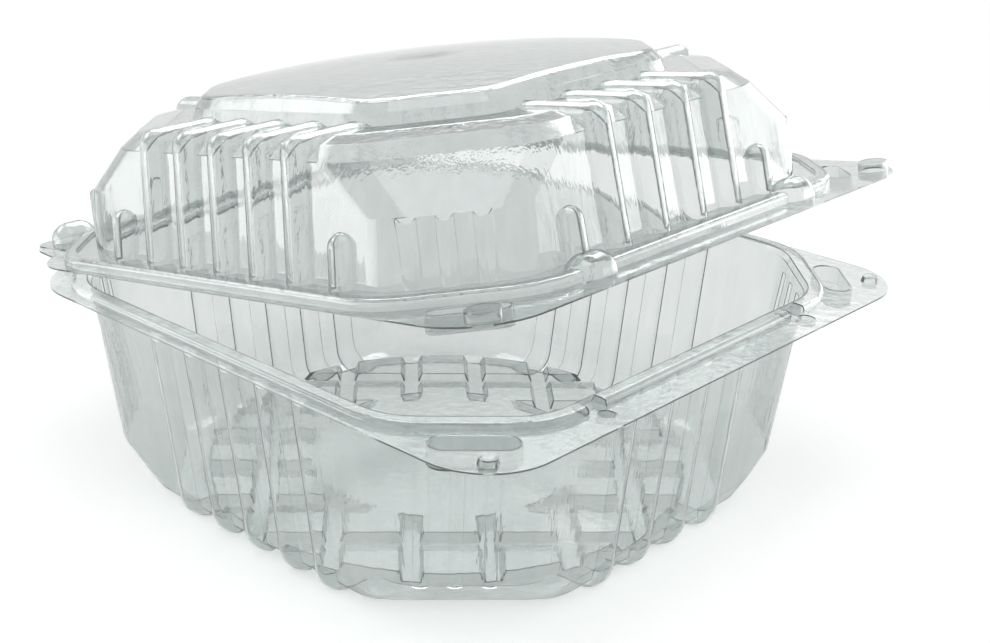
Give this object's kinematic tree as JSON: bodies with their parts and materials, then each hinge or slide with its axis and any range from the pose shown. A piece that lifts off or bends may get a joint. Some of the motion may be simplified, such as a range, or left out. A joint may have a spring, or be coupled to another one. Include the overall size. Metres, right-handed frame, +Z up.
{
  "type": "hinged clear plastic food container",
  "caption": "Clear thermoformed clamshell pack: a square ribbed tray with a domed, ribbed lid on a living hinge, shown a little open.",
  "frame": {"origin": "middle of the outline on the surface that the tray stands on", "axes": "+Z up, +Y towards the hinge, +X to the right seen from the opening side"},
  "size_m": [0.152, 0.1651, 0.1094],
  "materials": {
    "clear_sheet": "clear, glossy, faintly grey-green"
  },
  "bodies": {
    "tray": {"tray": "clear_sheet"},
    "lid": {"lid": "clear_sheet"}
  },
  "joints": [
    {"name": "lid_hinge", "type": "hinge", "parent": "tray", "child": "lid", "pos_m": [0, 0.082, 0.0523], "axis": [-1, 0, 0], "range_deg": [-9.9, 170.1], "stiffness_Nm_per_rad": 0.02, "springref_deg": 31.13}
  ]
}
